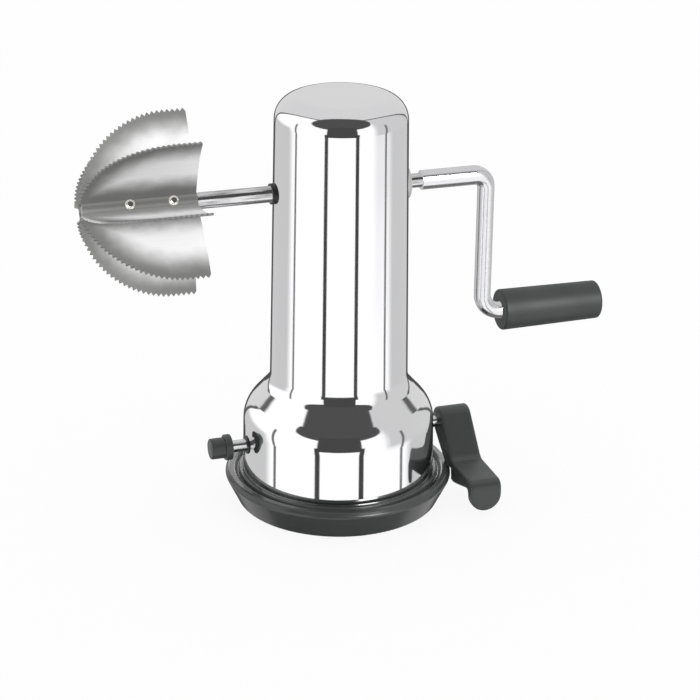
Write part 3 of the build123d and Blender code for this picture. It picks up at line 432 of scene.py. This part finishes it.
camera_turn = math.radians(-18.1)
camera_rise = math.radians(22.458)
camera_roll = math.radians(0.579)
camera_distance = 1.17606
aim_height = 0.0786
sideways = Vector((math.cos(camera_turn), math.sin(camera_turn), 0))
forward = Vector((math.sin(camera_turn), -math.cos(camera_turn), 0))
to_camera = forward * math.cos(camera_rise) + Vector((0, 0, math.sin(camera_rise)))
lens = bpy.data.cameras.new("camera")
lens.lens = 121.26
lens.sensor_width = 36.0
lens.shift_x = 0.0157
lens.clip_start = 0.05
camera = bpy.data.objects.new("camera", lens)
camera.location = Vector((0, 0, aim_height)) + camera_distance * to_camera
camera.rotation_mode = "QUATERNION"
camera.rotation_quaternion = (
    (-to_camera).to_track_quat("-Z", "Y") @ Quaternion((0, 0, 1), camera_roll))
bpy.context.scene.collection.objects.link(camera)
bpy.context.scene.camera = camera

# Floor: a plain pale sheet. The camera sees it nearly white, with a faint shadow under the ring, and
# the polished steel mirrors the studio's panels in its place.

half = 4.0
white_share = 0.9
build = bmesh.new()
build.faces.new([build.verts.new(corner) for corner in (
    (-half, -half, 0), (half, -half, 0), (half, half, 0), (-half, half, 0))])
floor_mesh = bpy.data.meshes.new("floor")
build.to_mesh(floor_mesh)
build.free()
floor = bpy.data.objects.new("floor", floor_mesh)
bpy.context.scene.collection.objects.link(floor)
floor.visible_glossy = False
pale_sheet, tree, shader, place = finish_for("pale_paper_sheet")
fibres = add(tree, "ShaderNodeTexNoise", {"Vector": place, "Scale": per_mm(40), "Detail": 3.0})
tone = add(tree, "ShaderNodeMix", {
    "Factor": fibres.outputs["Fac"], "A": linear("F6F6F6"), "B": linear("F1F1F1")}, data_type="RGBA")
tree.links.new(tone.outputs["Result"], shader.inputs["Base Color"])
shader.inputs["Roughness"].default_value = 0.9
seen = add(tree, "ShaderNodeLightPath").outputs["Is Camera Ray"]
share = add(tree, "ShaderNodeMath", {0: seen, 1: white_share}, operation="MULTIPLY")
white = add(tree, "ShaderNodeEmission", {"Color": (1, 1, 1, 1), "Strength": 1.0})
mixed = add(tree, "ShaderNodeMixShader", {
    0: share.outputs[0], 1: shader.outputs["BSDF"], 2: white.outputs["Emission"]})
tree.links.new(mixed.outputs["Shader"], tree.nodes["Material Output"].inputs["Surface"])
floor.data.materials.append(pale_sheet)

# Studio: an even white tent that lights the object from all round. What the steel mirrors is the
# tent itself: a grey backdrop behind, a dark hood in front and narrow gaps between the panels.

world = bpy.data.worlds.new("studio")
bpy.context.scene.world = world
world.use_nodes = True
tree = world.node_tree
tree.nodes.clear()
ray = add(tree, "ShaderNodeTexCoord").outputs["Generated"]
ahead = add(tree, "ShaderNodeVectorMath", {0: ray, 1: forward}, operation="DOT_PRODUCT").outputs["Value"]
aside = add(tree, "ShaderNodeVectorMath", {0: ray, 1: sideways}, operation="DOT_PRODUCT").outputs["Value"]
above = add(tree, "ShaderNodeSeparateXYZ", {"Vector": ray}).outputs["Z"]
behind = add(tree, "ShaderNodeMath", {0: ahead, 1: -1.0}, operation="MULTIPLY").outputs[0]
bearing = add(tree, "ShaderNodeMath", {0: aside, 1: ahead}, operation="ARCTAN2").outputs[0]
off_centre = add(tree, "ShaderNodeMath", {0: bearing}, operation="ABSOLUTE").outputs[0]
rise = add(tree, "ShaderNodeMath", {0: above}, operation="ARCSINE").outputs[0]
sway = add(tree, "ShaderNodeMath", {0: aside}, operation="ARCSINE").outputs[0]
arch = add(tree, "ShaderNodeMath", {0: above, 1: behind}, operation="ARCTAN2").outputs[0]


def band(angle, middle, half_width, soft):
    """1 where an angle, in degrees, is within a band, falling to 0 over its soft edge."""
    apart = add(tree, "ShaderNodeMath", {0: angle, 1: math.radians(middle)}, operation="SUBTRACT").outputs[0]
    size = add(tree, "ShaderNodeMath", {0: apart}, operation="ABSOLUTE").outputs[0]
    return add(tree, "ShaderNodeMapRange", {
        "Value": size, "From Min": math.radians(half_width + soft), "From Max": math.radians(half_width),
    }, interpolation_type="SMOOTHSTEP").outputs["Result"]


def hang(tent, level, *edges):
    """Hangs a panel of this brightness in the tent, where every one of its edges' masks is 1."""
    mask = edges[0]
    for edge in edges[1:]:
        mask = add(tree, "ShaderNodeMath", {0: mask, 1: edge}, operation="MULTIPLY").outputs[0]
    return add(tree, "ShaderNodeMix", {0: mask, 2: tent, 3: level}).outputs[0]


def oval(middle, half_along, half_across, power, edge, soft):
    """1 inside an oval panel on the arch over the object, falling to 0 over its soft edge."""
    across = add(tree, "ShaderNodeMath", {0: sway, 1: math.radians(half_across)}, operation="DIVIDE").outputs[0]
    lean = add(tree, "ShaderNodeMath", {0: arch, 1: math.radians(middle)}, operation="SUBTRACT").outputs[0]
    along = add(tree, "ShaderNodeMath", {0: lean, 1: math.radians(half_along)}, operation="DIVIDE").outputs[0]
    total = None
    for part in (across, along):
        size = add(tree, "ShaderNodeMath", {0: part}, operation="ABSOLUTE").outputs[0]
        raised = add(tree, "ShaderNodeMath", {0: size, 1: power}, operation="POWER").outputs[0]
        total = raised if total is None else add(tree, "ShaderNodeMath", {0: total, 1: raised}).outputs[0]
    out = add(tree, "ShaderNodeMath", {0: total, 1: 1 / power}, operation="POWER").outputs[0]
    return add(tree, "ShaderNodeMapRange", {
        "Value": out, "From Min": edge + soft, "From Max": edge,
    }, interpolation_type="SMOOTHSTEP").outputs["Result"]


# Low walls beside and behind the object in the bright tent, and a grey sheet to its right.
bright_tent, low_wall, grey_sheet = 1.2, 0.66, 0.7
tent = hang(bright_tent, low_wall, band(off_centre, middle=140, half_width=40, soft=14),
            band(rise, middle=-50, half_width=40, soft=10))
tent = hang(tent, grey_sheet, band(bearing, middle=105, half_width=38, soft=14),
            band(rise, middle=25, half_width=34, soft=14))
# The backdrop over the object, with the dark seam that shows round it.
seam, grey_backdrop = 0.13, 0.76
for level, edge in ((seam, 1.04), (grey_backdrop, 0.98)):
    tent = hang(tent, level, oval(
        middle=46, half_along=72, half_across=50.5, power=2.0, edge=edge, soft=0.03))
# The hood over the camera, and the cloth that hangs from it.
hood_cloth, hanging_cloth = 0.085, 0.07
tent = hang(tent, hood_cloth, oval(
    middle=131, half_along=28, half_across=44, power=2.2, edge=0.98, soft=0.08))
tent = hang(tent, hanging_cloth, band(bearing, middle=1.7, half_width=25, soft=2),
            band(rise, middle=10, half_width=22, soft=2))
# Gaps between the front panels, and narrower ones at the sides.
front_gap, side_gap = 0.06, 0.2
for bearing_of_gap in (-24.6, 28.0):
    tent = hang(tent, front_gap, band(bearing, middle=bearing_of_gap, half_width=2.4, soft=1.2),
                band(rise, middle=-30, half_width=26, soft=3))
tent = hang(tent, side_gap, band(off_centre, middle=82, half_width=1.5, soft=1.0),
            band(rise, middle=-20, half_width=35, soft=4))
# A dark cloth behind the object, which draws its outline, and the dim floor of the tent.
dark_cloth, dim_floor = 0.08, 0.2
facing = add(tree, "ShaderNodeVectorMath", {0: ray, 1: -to_camera.normalized()}, operation="DOT_PRODUCT")
off_facing = add(tree, "ShaderNodeMath", {0: facing.outputs["Value"]}, operation="ARCCOSINE").outputs[0]
tent = hang(tent, dark_cloth, band(off_facing, middle=0, half_width=22, soft=5))
tent = hang(tent, dim_floor, band(rise, middle=-90, half_width=32, soft=6))
in_gloss = add(tree, "ShaderNodeLightPath").outputs["Is Glossy Ray"]
strength = add(tree, "ShaderNodeMix", {0: in_gloss, 2: 1.0, 3: tent}).outputs[0]
background = add(tree, "ShaderNodeBackground", {"Color": (1, 1, 1, 1), "Strength": strength})
add(tree, "ShaderNodeOutputWorld", {"Surface": background.outputs["Background"]})

# Soft boxes, each for a few parts: one to the right of the camera for the grip, crank and ring, one
# low behind for the ring's lip, and a wide one for the satin blades, which shade each other.

box_distance = 1.3
lit_height = 0.08
for name, lit, bearing_of_box, rise_of_box, wide, high, watts in (
        ("front_box", ("base_ring", "hand_grip", "grip_cap", "crank_arm"), 36, 27, 0.5, 0.7, 12.0),
        ("back_box", ("base_ring",), 175, 14, 1.6, 0.4, 5.0),
        ("head_box", channels + ("blade_welds",), -10, 20, 1.0, 0.9, 15.0)):
    receivers = bpy.data.collections.new(name)
    for lit_name in lit:
        receivers.objects.link(nodes[lit_name])
    box_turn = math.radians(bearing_of_box)
    box_rise = math.radians(rise_of_box)
    outward = forward * math.cos(box_turn) + sideways * math.sin(box_turn)
    to_box = outward * math.cos(box_rise) + Vector((0, 0, math.sin(box_rise)))
    soft_box = bpy.data.lights.new(name, "AREA")
    soft_box.shape = "RECTANGLE"
    soft_box.size = wide
    soft_box.size_y = high
    soft_box.energy = watts
    stand = bpy.data.objects.new(name, soft_box)
    stand.location = Vector((0, 0, lit_height)) + box_distance * to_box
    stand.rotation_mode = "QUATERNION"
    stand.rotation_quaternion = (-to_box).to_track_quat("-Z", "Y")
    stand.light_linking.receiver_collection = receivers
    bpy.context.scene.collection.objects.link(stand)

bpy.context.scene.view_settings.view_transform = "Standard"
